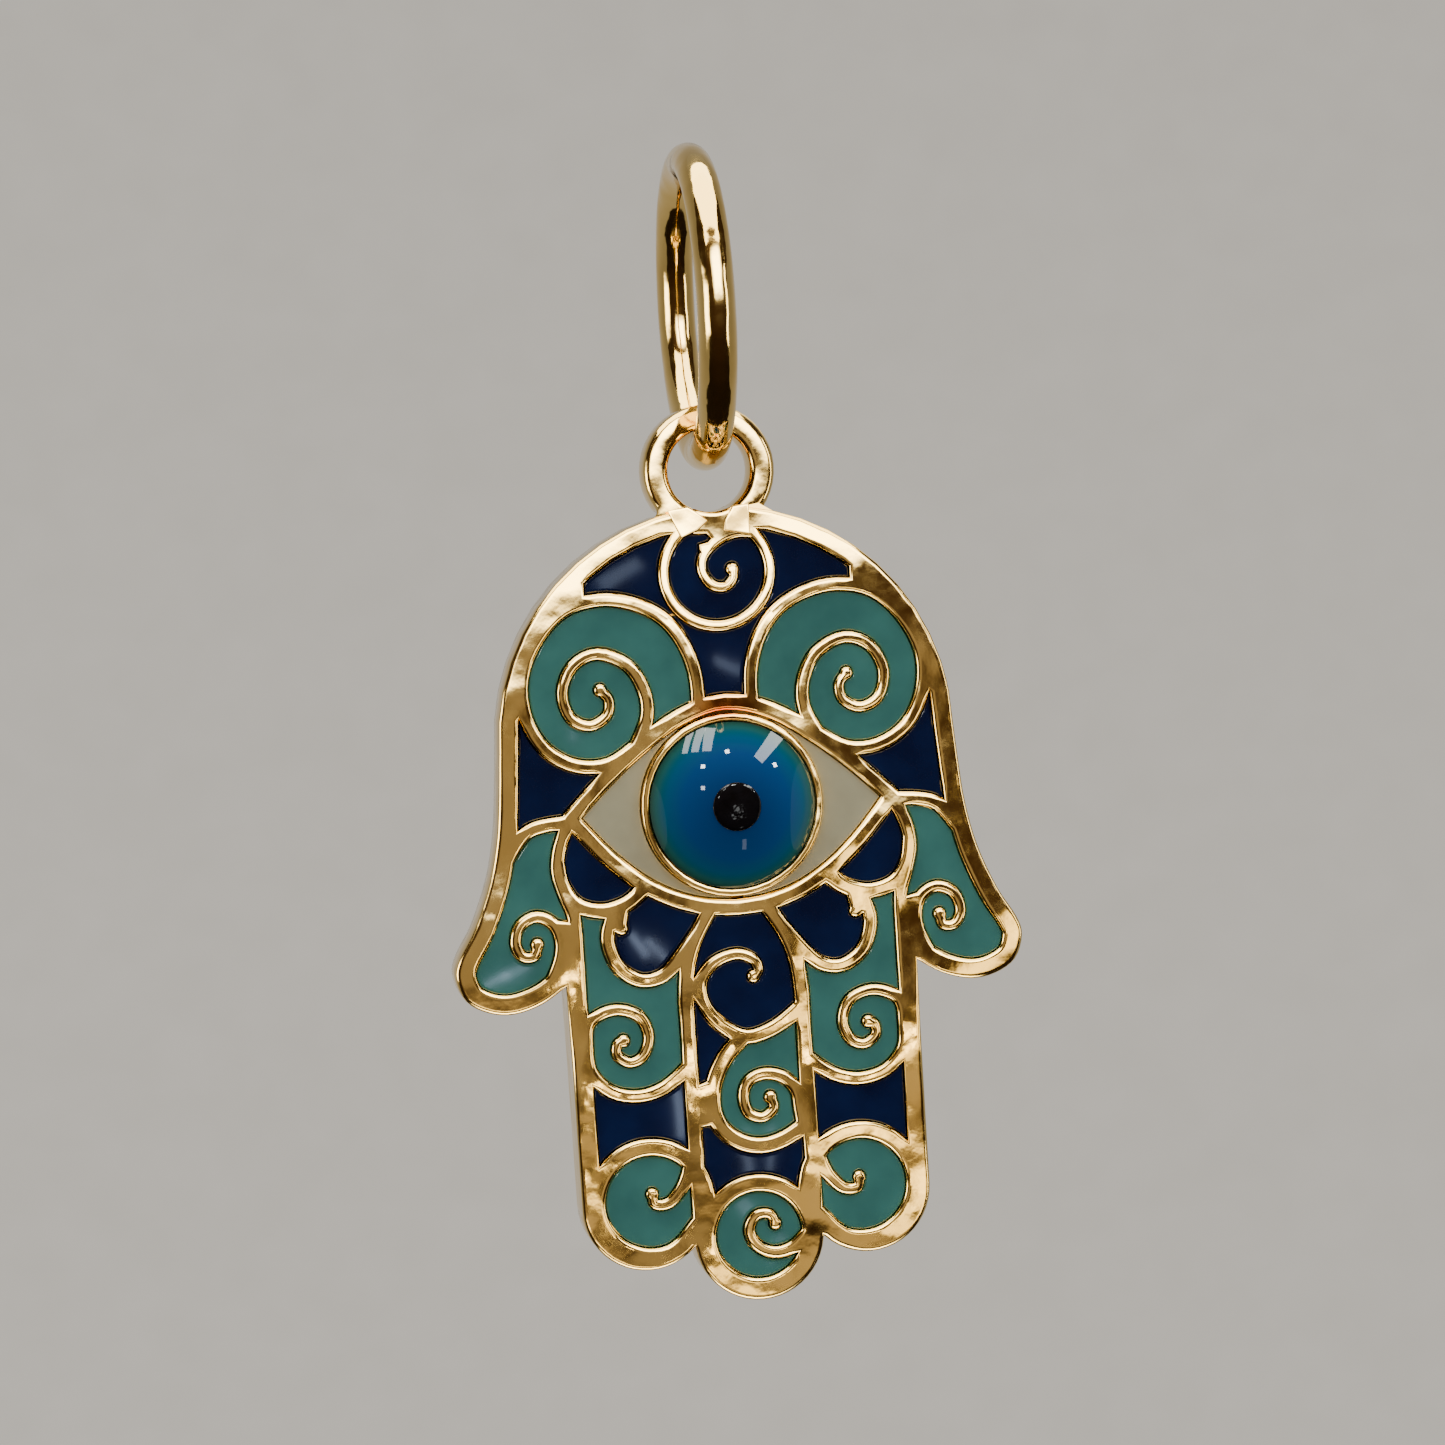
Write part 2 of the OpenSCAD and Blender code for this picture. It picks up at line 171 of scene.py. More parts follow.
# %% Stock cut from the solid pieces
MERGE = 0.001 * MM


def stock(node, name, merge=MERGE):
    """A copy of a solid piece as one skin, with vertices closer than merge made one."""
    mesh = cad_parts[node].data.copy()
    mesh.name = name
    mesh.materials.clear()
    obj = bpy.data.objects.new(name, mesh)
    bpy.context.collection.objects.link(obj)
    only(obj)
    bpy.ops.mesh.customdata_custom_splitnormals_clear()
    edit(obj)
    bpy.ops.mesh.select_all(action="SELECT")
    bpy.ops.mesh.remove_doubles(threshold=merge)
    bpy.ops.mesh.select_all(action="DESELECT")
    leave()
    return obj


print("vertices closer than", round(MERGE / MM, 4), "mm are merged")

# %% [markdown]
# A flat face with a sharp border is what a saw leaves. Polishing rounds that border over. Here
# the selected faces are first sunk and then inset in steps, each step a little further in and a
# little higher, so the border follows a quarter of an ellipse. Inset faces keep an even strip
# along every wire, however it curls, where the bevel tool would tangle at the thin cusps. A last
# narrow inset stays level, so the shading of the shoulder doesn't run out over the flat.

# %% Round over the border of flat faces
FLAT_HEM = 0.015 * MM


def round_over(sign, width, depth, steps=3):
    """Rounds the border of the selected faces, which look along Y in the direction of sign."""
    bpy.ops.transform.translate(value=(0, -sign * depth, 0))
    for step in range(steps):
        start = math.pi / 2 * step / steps
        end = math.pi / 2 * (step + 1) / steps
        bpy.ops.mesh.inset(
            thickness=width * (math.cos(start) - math.cos(end)),
            depth=depth * (math.sin(end) - math.sin(start)),
            use_even_offset=False,
        )
    bpy.ops.mesh.inset(thickness=FLAT_HEM, depth=0, use_even_offset=False)


print("a rounded border ends in a level hem of", round(FLAT_HEM / MM, 3), "mm")

# %% [markdown]
# The gold hand is one casting: plate, rim, wires, bezel and eyelet. Its front is polished until
# the wires are softly rounded, and the back and the eyelet are rounded more. Its outline has a
# step of a few thousandths of a millimetre where two curves meet. It is merged away first,
# because a rounded border would crease there.

# %% The gold hand
WIRE_SHOULDER = 0.08 * MM
WIRE_DROP = 0.05 * MM
BACK_ROUND = 0.16 * MM
EYELET_ROUND = 0.13 * MM
BEZEL_SHOULDER = 0.045 * MM
BEZEL_DROP = 0.03 * MM
OUTLINE_STEP = 0.007 * MM

gold_hand = stock("hand_frame", "gold_hand", merge=OUTLINE_STEP)
edit(gold_hand)
front_faces = pick_faces(gold_hand, lambda f: looks_along(f, -1, FRONT))
round_over(-1, WIRE_SHOULDER, WIRE_DROP, steps=4)
back_faces = pick_faces(gold_hand, lambda f: looks_along(f, 1, BACK))
round_over(1, BACK_ROUND, BACK_ROUND, steps=4)
bezel_faces = pick_faces(gold_hand, lambda f: looks_along(f, -1, BEZEL_FRONT))
round_over(-1, BEZEL_SHOULDER, BEZEL_DROP)
leave()
print("gold hand:", front_faces, "front faces,", back_faces, "back faces,", bezel_faces, "on the bezel")

# %% [markdown]
# The eyelet is a thick flat ring. Its four circular edges are found by their distance from its
# middle and bevelled, which makes it the soft band that shows in the photograph.

# %% Soften the eyelet
EYELET_MIDDLE = Vector((0, 0, -5.29 * MM))
EYELET_HOLE_R = 0.76 * MM
EYELET_R = 1.21 * MM
EYELET_CORNER = math.radians(60)
NEAR = 0.01 * MM


def on_eyelet_edge(edge):
    """True for a sharp edge on one of the eyelet's circles."""
    if not edge.is_manifold or edge.calc_face_angle() < EYELET_CORNER:
        return False
    for vert in edge.verts:
        if abs(abs(vert.co.y) - abs(EYELET_FRONT)) > NEAR / 2:
            return False
        r = math.hypot(vert.co.x - EYELET_MIDDLE.x, vert.co.z - EYELET_MIDDLE.z)
        if min(abs(r - EYELET_R), abs(r - EYELET_HOLE_R)) > NEAR:
            return False
    return True


edit(gold_hand)
eyelet_edges = pick_edges(gold_hand, on_eyelet_edge)
bpy.ops.mesh.bevel(offset=EYELET_ROUND, segments=4, affect="EDGES")
leave()
smooth(gold_hand)
settle(gold_hand, "pendant", "gold", "hand_frame")
print("gold hand:", eyelet_edges, "eyelet edges,", len(gold_hand.data.polygons), "faces")

# %% [markdown]
# The eyelet is soldered on, and the solder has run into two small fillets between its feet and
# the ring of scrollwork below it. Each fillet is a thin wedge, nearly level with the front, that
# catches the light as a whole. Its outline is extruded first, so that the face has walls to be
# rounded over. Its front is then lowered nearly to the gold and leaned back a little, so that it
# mirrors a lamp above the pendant.

# %% Solder fillets below the eyelet
FILLET_TOP = -5.86 * MM
FILLET_LEAN = 0.03
FILLET_PROUD = 0.012 * MM
FILLET_H = 0.03 * MM
FILLET_SHOULDER = 0.04 * MM
FILLET_DROP = 0.02 * MM


def fillet(name, *corners):
    """A wedge on the front of the hand, with corners given in millimetres as (x, z)."""
    shape = bmesh.new()
    verts = [shape.verts.new((x * MM, FRONT, z * MM)) for x, z in corners]
    shape.faces.new(verts)
    mesh = bpy.data.meshes.new(name)
    shape.to_mesh(mesh)
    shape.free()
    obj = bpy.data.objects.new(name, mesh)
    bpy.context.collection.objects.link(obj)
    edit(obj)
    bpy.ops.mesh.select_all(action="SELECT")
    bpy.ops.mesh.extrude_region_move(TRANSFORM_OT_translate={"value": (0, -FILLET_H, 0)})
    bpy.ops.mesh.select_all(action="SELECT")
    bpy.ops.mesh.normals_make_consistent(inside=False)
    pick_faces(obj, lambda f: looks_along(f, -1, FRONT - FILLET_H))
    round_over(-1, FILLET_SHOULDER, FILLET_DROP)
    leave()
    for vert in mesh.vertices:
        if vert.co.y < FRONT - MERGE:
            vert.co.y += FILLET_H - FILLET_PROUD - (FILLET_TOP - vert.co.z) * FILLET_LEAN
    smooth(obj)
    settle(obj, "pendant", "gold")
    return obj


fillets = [
    fillet("solder_left", (-0.84, -5.98), (-0.46, -5.92), (-0.1, -6.2), (-0.3, -6.38), (-0.62, -6.5)),
    fillet("solder_right", (0.36, -5.96), (0.66, -5.94), (0.66, -6.5), (0.18, -6.4), (0.2, -6.2)),
]
print("solder fillets:", [len(obj.data.polygons) for obj in fillets], "faces")

# %% [markdown]
# Each enamel is glass powder, wetted, packed into its cell and fired. It comes out a little below
# the wires with a rounded border, because molten glass draws itself in. There are many cells, so
# one loop makes them all, and the first word of a cell's name tells its finish.

# %% The enamels
ENAMEL_SHOULDER = 0.04 * MM
ENAMEL_DROP = 0.02 * MM
enamel_slots = {"navy": "navy_enamel", "teal": "teal_enamel", "eye": "cream_enamel"}
enamels = {kind: [] for kind in enamel_slots}
for node in sorted(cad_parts):
    kind = node.split("_")[0]
    if kind not in enamels:
        continue
    cell = stock(node, "enamel_" + node)
    edit(cell)
    pick_faces(cell, lambda f: looks_along(f, -1, ENAMEL_FRONT))
    round_over(-1, ENAMEL_SHOULDER, ENAMEL_DROP)
    leave()
    smooth(cell)
    settle(cell, "pendant", enamel_slots[kind], node)
    enamels[kind].append(cell)
print("enamels:", {kind: len(cells) for kind, cells in enamels.items()})

# %% [markdown]
# The eye is a low dome of glass in its bezel. A dome is a slice of a ball, so a ball is added
# with its pole to the front, and everything behind the bezel's rim is cut away. The open border
# is then pulled back to the floor of the seat and closed.

# %% The dome of the iris
DOME_H = BEZEL_FRONT - IRIS_TOP
BALL_R = (IRIS_R ** 2 + DOME_H ** 2) / (2 * DOME_H)


def dome(name, ball_r, top, border, base):
    """A slice of a ball with its top at depth top and its border at depth border, down to base."""
    bpy.ops.object.select_all(action="DESELECT")
    bpy.ops.mesh.primitive_uv_sphere_add(
        segments=96, ring_count=96, radius=ball_r, rotation=(math.pi / 2, 0, 0),
        location=EYE_MIDDLE + Vector((0, top + ball_r, 0)),
    )
    obj = bpy.context.active_object
    obj.name = name
    bpy.ops.object.transform_apply(location=True, rotation=True, scale=True)
    edit(obj)
    bpy.ops.mesh.select_all(action="SELECT")
    bpy.ops.mesh.bisect(
        plane_co=(0, border, 0), plane_no=(0, 1, 0), clear_outer=True, threshold=MERGE / 10,
    )
    bpy.ops.mesh.select_mode(type="EDGE")
    bpy.ops.mesh.extrude_region_move(TRANSFORM_OT_translate={"value": (0, base - border, 0)})
    bpy.ops.mesh.edge_face_add()
    bpy.ops.mesh.select_all(action="SELECT")
    bpy.ops.mesh.normals_make_consistent(inside=False)
    leave()
    return obj


iris = dome("iris_dome", BALL_R, IRIS_TOP, BEZEL_FRONT, IRIS_BASE)
smooth(iris)
settle(iris, "pendant", "iris", "iris")
print("iris: ball radius", round(BALL_R / MM, 2), "mm,", len(iris.data.polygons), "faces")

# %% [markdown]
# The pupil is a round black spot of glass that is pressed into the top of the dome while it is
# soft. It is a second, slightly larger slice of the same ball, and its border is sunk a little, so
# that the spot has a round shoulder that catches the lamps.

# %% The pupil
pupil_low, pupil_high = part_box("pupil")
PUPIL_R = (pupil_high.x - pupil_low.x) / 2
pupil_ball = BALL_R + PUPIL_PROUD
pupil_border = IRIS_TOP - PUPIL_PROUD + pupil_ball - math.sqrt(pupil_ball ** 2 - PUPIL_R ** 2)
PUPIL_SHOULDER = 0.03 * MM
pupil = dome("pupil_spot", pupil_ball, IRIS_TOP - PUPIL_PROUD, pupil_border, pupil_high.y)
edit(pupil)
shape = bmesh.from_edit_mesh(pupil.data)
for vert in shape.verts:
    if abs(vert.co.y - pupil_border) < MERGE:
        vert.co.y += PUPIL_SHOULDER
bmesh.update_edit_mesh(pupil.data)
leave()
smooth(pupil, degrees=60)
settle(pupil, "pendant", "pupil", "pupil")
print("pupil: radius", round(PUPIL_R / MM, 2), "mm")

# %% [markdown]
# A jump ring is a turn of round wire. Its inside top is the origin, so its size and its middle
# follow from its box. The wire of the real one is not perfectly even, which makes its highlights
# wander, so the ring gets a very slight displacement.

# %% The jump ring
ring_low, ring_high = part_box("jump_ring")
WIRE_R = (ring_high.x - ring_low.x) / 2
RING_R = (ring_high.z - ring_low.z) / 2 - WIRE_R
RIPPLE = 0.012 * MM
RIPPLE_SIZE = 0.9 * MM
bpy.ops.object.select_all(action="DESELECT")
bpy.ops.mesh.primitive_torus_add(
    major_radius=RING_R, minor_radius=WIRE_R, major_segments=192, minor_segments=40,
    location=(0, 0, (ring_low.z + ring_high.z) / 2), rotation=(0, math.pi / 2, 0),
)
ring = bpy.context.active_object
ring.name = "ring_wire"
bpy.ops.object.transform_apply(location=True, rotation=True, scale=True)
waves = bpy.data.textures.new("wire_waves", "CLOUDS")
waves.noise_scale = RIPPLE_SIZE
bpy.ops.object.modifier_add(type="DISPLACE")
ring.modifiers[-1].texture = waves
ring.modifiers[-1].strength = RIPPLE
bpy.ops.object.modifier_apply(modifier=ring.modifiers[-1].name)
bpy.ops.object.shade_smooth()
settle(ring, "ring", "gold", "jump_ring")
print("jump ring: wire radius", round(WIRE_R / MM, 2), "mm, ring radius", round(RING_R / MM, 2), "mm")


# %% [markdown]
# Materials are built from nodes. One function turns the colours that a designer picks, sRGB hex,
# into the linear values that the renderer mixes. One more adds a node with its settings, its
# values and its links. Object coordinates are metres, so a pattern's scale is one over its size.

# %% Helpers for materials
def colour(code):
    """Linear colour of an sRGB hex code."""
    parts = [int(code[i:i + 2], 16) / 255 for i in (1, 3, 5)]
    return [c / 12.92 if c <= 0.04045 else ((c + 0.055) / 1.055) ** 2.4 for c in parts] + [1]


def per_mm(size):
    """Scale of a pattern whose grains are size millimetres wide."""
    return 1 / (size * MM)


def add(tree, kind, values=None, **settings):
    """Adds a node, sets it up, and gives its inputs values or links them to sockets."""
    node = tree.nodes.new(kind)
    for name, value in settings.items():
        setattr(node, name, value)
    for name, value in (values or {}).items():
        if isinstance(value, bpy.types.NodeSocket):
            tree.links.new(value, node.inputs[name])
        else:
            node.inputs[name].default_value = value
    return node


def new_material(name):
    """A material with an empty tree, and the socket that gives places on the object."""
    material = bpy.data.materials.new(name)
    material.use_nodes = True
    material.node_tree.nodes.clear()
    place = add(material.node_tree, "ShaderNodeTexCoord").outputs["Object"]
    return material, material.node_tree, place


def finish_material(tree, shader):
    """Links a finished shader to the output."""
    add(tree, "ShaderNodeOutputMaterial", {"Surface": shader.outputs["BSDF"]})


def ramp(tree, factor, *stops):
    """A colour ramp with stops given as (place, hex code)."""
    node = add(tree, "ShaderNodeValToRGB", {"Fac": factor})
    while len(node.color_ramp.elements) < len(stops):
        node.color_ramp.elements.new(0.5)
    for element, (place, code) in zip(node.color_ramp.elements, stops):
        element.position = place
        element.color = colour(code)
    return node.outputs["Color"]


print("middle grey #808080 is", round(colour("#808080")[0], 3), "in linear light")

# %% [markdown]
# Fourteen carat yellow gold, cast, tumbled and buffed. The buffing wheel takes a little more off
# the border than off the middle, so the front is very slightly domed, and it leaves a mirror that
# rolls gently over the casting, with hair lines that are drawn far coarser than they are, so
# that they show at all. The dome is a bump whose height is the square of the distance from the
# middle, and noises give the rest: sway and roll bend the mirror, and hair dulls it in places.
# A reddish reflection on the lid above the eye is painted into the colour, blended in from a round
# patch.

# %% Polished yellow gold
HAND_MIDDLE = Vector((0, 0, -14.5 * MM))
# Place, size and tone of the painted reflection on the lid above the eye.
PAINTED_REFLECTION_MIDDLE = Vector((-0.05 * MM, FRONT, -9.62 * MM))
PAINTED_REFLECTION_SIZE = Vector((0.85 * MM, 0.5 * MM, 0.38 * MM))
PAINTED_REFLECTION_TONE = "#c8692f"
GOLD_TONES = ((0.3, "#d8b86e"), (0.7, "#e0c27a"))
TONE_MM = 1.6
SWAY_MM = 2.6
ROLL_MM = 0.7
HAIR_MM = 0.22
ROLL_HEIGHT = 0.04 * MM
HAIR_HEIGHT = 0.003 * MM


def polished_gold(name, sway_height=0.35, doming=7.5):
    """Gold that rolls by sway_height millimetres and curves away from the middle of the hand.

    A doming of 7.5 turns the surface away by 4 degrees at 5 mm from the middle.
    """
    material, tree, place = new_material(name)
    # Painted reflection: the base colour turns reddish in a round patch on the lid above the eye.
    from_painted_reflection = add(tree, "ShaderNodeMapping", {
        "Vector": place,
        "Location": [-m / s for m, s in zip(PAINTED_REFLECTION_MIDDLE, PAINTED_REFLECTION_SIZE)],
        "Scale": [1 / s for s in PAINTED_REFLECTION_SIZE]}).outputs["Vector"]
    painted_reflection = add(tree, "ShaderNodeTexGradient", {"Vector": from_painted_reflection}, gradient_type="SPHERICAL")
    from_middle = add(tree, "ShaderNodeMapping", {
        "Vector": place, "Location": -HAND_MIDDLE, "Scale": (1, 0, 1)}).outputs["Vector"]
    squared = add(tree, "ShaderNodeVectorMath", operation="DOT_PRODUCT")
    tree.links.new(from_middle, squared.inputs[0])
    tree.links.new(from_middle, squared.inputs[1])
    domed = add(tree, "ShaderNodeBump", {
        "Height": squared.outputs["Value"], "Strength": 1.0, "Distance": doming}, invert=True)
    sway = add(tree, "ShaderNodeTexNoise", {"Vector": place, "Scale": per_mm(SWAY_MM), "Detail": 0.0})
    roll = add(tree, "ShaderNodeTexNoise", {"Vector": place, "Scale": per_mm(ROLL_MM), "Detail": 1.0})
    hair = add(tree, "ShaderNodeTexNoise", {"Vector": place, "Scale": per_mm(HAIR_MM), "Detail": 2.0})
    touch = add(tree, "ShaderNodeTexNoise", {"Vector": place, "Scale": per_mm(TONE_MM), "Detail": 2.0})
    tone = ramp(tree, touch.outputs["Fac"], *GOLD_TONES)
    with_painted_reflection = add(tree, "ShaderNodeMixRGB", {
        "Fac": painted_reflection.outputs["Fac"], "Color1": tone, "Color2": colour(PAINTED_REFLECTION_TONE)})
    rough = add(tree, "ShaderNodeMapRange", {
        "Value": hair.outputs["Fac"],
        "From Min": 0.3, "From Max": 0.7, "To Min": 0.06, "To Max": 0.13})
    swayed = add(tree, "ShaderNodeBump", {
        "Height": sway.outputs["Fac"], "Normal": domed.outputs["Normal"],
        "Strength": 1.0, "Distance": sway_height * MM})
    rolled = add(tree, "ShaderNodeBump", {
        "Height": roll.outputs["Fac"], "Normal": swayed.outputs["Normal"],
        "Strength": 1.0, "Distance": ROLL_HEIGHT})
    lined = add(tree, "ShaderNodeBump", {
        "Height": hair.outputs["Fac"], "Normal": rolled.outputs["Normal"],
        "Strength": 1.0, "Distance": HAIR_HEIGHT})
    shader = add(tree, "ShaderNodeBsdfPrincipled", {
        "Base Color": with_painted_reflection.outputs["Color"], "Metallic": 1.0, "Roughness": rough.outputs["Result"],
        "Normal": lined.outputs["Normal"]})
    finish_material(tree, shader)
    return material


cast_gold = polished_gold("polished yellow gold")
for piece in (gold_hand, *fillets):
    piece.data.materials.append(cast_gold)
ring.data.materials.append(polished_gold("polished gold wire", sway_height=0.2, doming=0.0))
print("gold on", gold_hand.name, "and", ring.name)


# %% [markdown]
# Vitreous enamel is coloured glass on metal. Its surface is fire-polished: very smooth, and wavy
# on the scale of a millimetre, so a lamp is mirrored as a bent streak. The colour is deep and
# nearly even, with faint clouds where the powder lay thicker.

# %% Vitreous enamel
GLASS_IOR = 1.5
FIRED_ROUGHNESS = 0.03
CLOUD_MM = 0.8
SWELL_MM = 1.3
SWELL_HEIGHT = 0.0008 * MM


def vitreous_enamel(name, thin, deep):
    """Enamel between two tones: thin where the powder lay thin, and deep where it lay thick."""
    material, tree, place = new_material(name)
    cloud = add(tree, "ShaderNodeTexNoise", {"Vector": place, "Scale": per_mm(CLOUD_MM), "Detail": 3.0})
    swell = add(tree, "ShaderNodeTexNoise", {"Vector": place, "Scale": per_mm(SWELL_MM), "Detail": 1.0})
    waved = add(tree, "ShaderNodeBump", {
        "Height": swell.outputs["Fac"], "Strength": 1.0, "Distance": SWELL_HEIGHT})
    shader = add(tree, "ShaderNodeBsdfPrincipled", {
        "Base Color": ramp(tree, cloud.outputs["Fac"], (0.3, deep), (0.7, thin)),
        "Roughness": FIRED_ROUGHNESS, "IOR": GLASS_IOR, "Normal": waved.outputs["Normal"]})
    finish_material(tree, shader)
    return material


finishes = {
    "navy": vitreous_enamel("navy vitreous enamel", "#0c1a3e", "#07112e"),
    "teal": vitreous_enamel("teal vitreous enamel", "#3e716c", "#34635f"),
    "eye": vitreous_enamel("cream vitreous enamel", "#a8a185", "#9a9379"),
}
for kind, cells in enamels.items():
    for cell in cells:
        cell.data.materials.append(finishes[kind])
print("enamel finishes:", sorted(finishes))


# %% [markdown]
# The iris is painted glass under a clear dome. Its blue is deepest in the middle and turns to
# green at the bezel, where the glass is thin. The gradient is measured from the middle of the eye
# with a Mapping node, so it stays round whatever the mesh is. The pupil's black glass was pressed
# by hand, so its surface has small dimples that break the lamps up.

# %% Glass of the iris and the pupil
IRIS_TONES = (
    (0.0, "#1d3d33"), (0.06, "#1b5453"), (0.18, "#094d6f"), (0.36, "#043f73"), (0.8, "#033160"),
)
SPECK_MM = 0.2
DIMPLE_DEPTH = 0.012 * MM


def painted_glass():
    """Blue glass that turns to green towards its border."""
    material, tree, place = new_material("painted dome glass")
    centred = add(tree, "ShaderNodeMapping", {
        "Vector": place,
        "Location": -EYE_MIDDLE / IRIS_R,
        "Scale": (1 / IRIS_R, 0, 1 / IRIS_R)})
    round_fade = add(tree, "ShaderNodeTexGradient", {
        "Vector": centred.outputs["Vector"]}, gradient_type="SPHERICAL")
    shader = add(tree, "ShaderNodeBsdfPrincipled", {
        "Base Color": ramp(tree, round_fade.outputs["Fac"], *IRIS_TONES),
        "Roughness": FIRED_ROUGHNESS, "IOR": GLASS_IOR})
    finish_material(tree, shader)
    return material


def black_glass():
    """Black glass with small dimples."""
    material, tree, place = new_material("black spot glass")
    speck = add(tree, "ShaderNodeTexNoise", {"Vector": place, "Scale": per_mm(SPECK_MM), "Detail": 2.0})
    dimple = add(tree, "ShaderNodeBump", {
        "Height": speck.outputs["Fac"], "Strength": 1.0, "Distance": DIMPLE_DEPTH})
    shader = add(tree, "ShaderNodeBsdfPrincipled", {
        "Base Color": ramp(tree, speck.outputs["Fac"], (0.3, "#050507"), (0.7, "#0c0c10")),
        "Roughness": 0.08, "IOR": GLASS_IOR, "Normal": dimple.outputs["Normal"]})
    finish_material(tree, shader)
    return material


iris.data.materials.append(painted_glass())
pupil.data.materials.append(black_glass())
print("eye: iris and pupil finished")

# %% [markdown]
# The stage is a pale floor that curves up into a wall all the way round, like a deep bowl, so
# every camera angle sees the same plain backdrop. It starts as a disc, and its border is extruded
# outwards and upwards in small steps. Light that bounces from wall to wall would take half of the
# render's time, so the paper is left out of it, and the soft room gives that light instead.

# %% The stage
FLOOR_Z = -230 * MM
FLOOR_R = 100 * MM
CURVE_R = 400 * MM
WALL_H = 300 * MM
CURVE_STEPS = 12
FIBRE_MM = 6
bpy.ops.object.select_all(action="DESELECT")
bpy.ops.mesh.primitive_circle_add(
    vertices=96, radius=FLOOR_R, fill_type="NGON", location=(0, 0, FLOOR_Z),
)
floor = bpy.context.active_object
floor.name = "pale_floor"
bpy.ops.object.transform_apply(location=True, rotation=True, scale=True)
edit(floor)
bpy.ops.mesh.select_mode(type="EDGE")
bpy.ops.mesh.select_all(action="SELECT")
radius = FLOOR_R
height = 0.0
for step in range(1, CURVE_STEPS + 1):
    angle = math.pi / 2 * step / CURVE_STEPS
    new_radius = FLOOR_R + CURVE_R * math.sin(angle)
    new_height = CURVE_R * (1 - math.cos(angle))
    bpy.ops.mesh.extrude_edges_move(TRANSFORM_OT_translate={"value": (0, 0, new_height - height)})
    growth = new_radius / radius
    bpy.ops.transform.resize(value=(growth, growth, 1), center_override=(0, 0, FLOOR_Z))
    radius = new_radius
    height = new_height
bpy.ops.mesh.extrude_edges_move(TRANSFORM_OT_translate={"value": (0, 0, WALL_H)})
leave()
only(floor)
bpy.ops.object.shade_smooth()
floor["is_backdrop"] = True

paper, paper_tree, paper_place = new_material("matt backdrop paper")
fibre = add(paper_tree, "ShaderNodeTexNoise", {
    "Vector": paper_place, "Scale": per_mm(FIBRE_MM), "Detail": 2.0})
finish_material(paper_tree, add(paper_tree, "ShaderNodeBsdfPrincipled", {
    "Base Color": ramp(paper_tree, fibre.outputs["Fac"], (0.3, "#e6e3dd"), (0.7, "#eae7e1")),
    "Roughness": 0.8, "Specular IOR Level": 0.0}))
floor.data.materials.append(paper)
floor.visible_diffuse = False
print("stage: floor at", round(FLOOR_Z / MM, 1), "mm")


# %% [markdown]
# The camera looks at the pendant from a little to its left and slightly from above, with a long
# lens. It is worked out here, before the lamps, because what makes a jewel sparkle is what it
# mirrors: a lamp that has to show at one spot stands where a ray from the camera goes after it
# meets the jewel at that spot. One function follows the ray off the dome of the eye, and one off
# the flat front.

# %% Where the camera and the lamps stand
CAMERA_AZIMUTH = -8
CAMERA_ELEVATION = 3
LENS = 120
SENSOR = 36
FILL = 0.8
TARGET = Vector((0, 0, -12 * MM))
LAMP_AWAY = 150 * MM


def direction(azimuth, elevation):
    """Unit vector to a place seen from the pendant, in degrees; azimuth 0 is in front of it."""
    a, e = math.radians(azimuth), math.radians(elevation)
    return Vector((math.sin(a) * math.cos(e), -math.cos(a) * math.cos(e), math.sin(e)))


def around(azimuth, elevation, away=LAMP_AWAY):
    """Place of a lamp in a direction from the pendant."""
    return TARGET + direction(azimuth, elevation) * away


low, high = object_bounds()
camera_distance = (high.z - low.z) / FILL / 2 / (SENSOR / 2 / LENS)
camera_place = (low + high) / 2 + direction(CAMERA_AZIMUTH, CAMERA_ELEVATION) * camera_distance


def in_dome(x, z):
    """Place of the lamp that shows x to the right of and z above the middle of the eye."""
    x, z = x * MM / BALL_R, z * MM / BALL_R
    normal = Vector((x, -math.sqrt(1 - x * x - z * z), z))
    to_camera = direction(CAMERA_AZIMUTH, CAMERA_ELEVATION)
    return TARGET + (2 * normal.dot(to_camera) * normal - to_camera) * LAMP_AWAY


def in_flat(x, z):
    """Place of the lamp that shows on the flat front at x and z."""
    spot = Vector((x * MM, FRONT, z * MM))
    ray = (spot - camera_place).normalized()
    return spot + Vector((ray.x, -ray.y, ray.z)) * LAMP_AWAY


print("camera:", round(camera_distance / MM), "mm away")

# %% [markdown]
# A lamp is given by its place, its size and its brightness, as a photographer sees it, and its
# power follows from its area. A soft box is bright in the middle and fades to its border, which
# its nodes work out from the place on the lamp. All lamps are hidden from the camera. A lamp can
# be kept to a group of pieces, as a photographer keeps it off the rest with flags.

# %% Lamps
SOFT_FADE = 0.3
SOFT_PEAK = 1.3
WHITE = "#ffffff"


def soften(light):
    """Lets a lamp fade from its middle to its border."""
    light.use_nodes = True
    tree = light.node_tree
    place = add(tree, "ShaderNodeSeparateXYZ", {
        "Vector": add(tree, "ShaderNodeNewGeometry").outputs["Parametric"]})
    fades = []
    for axis in ("X", "Y"):
        middle = add(tree, "ShaderNodeMath", operation="PINGPONG")
        middle.inputs[1].default_value = 0.5
        tree.links.new(place.outputs[axis], middle.inputs[0])
        fades.append(add(tree, "ShaderNodeMapRange", {
            "Value": middle.outputs["Value"], "From Max": SOFT_FADE, "To Max": SOFT_PEAK},
            interpolation_type="SMOOTHSTEP").outputs["Result"])
    both = add(tree, "ShaderNodeMath", operation="MULTIPLY")
    tree.links.new(fades[0], both.inputs[0])
    tree.links.new(fades[1], both.inputs[1])
    tree.links.new(both.outputs["Value"], tree.nodes["Emission"].inputs["Strength"])


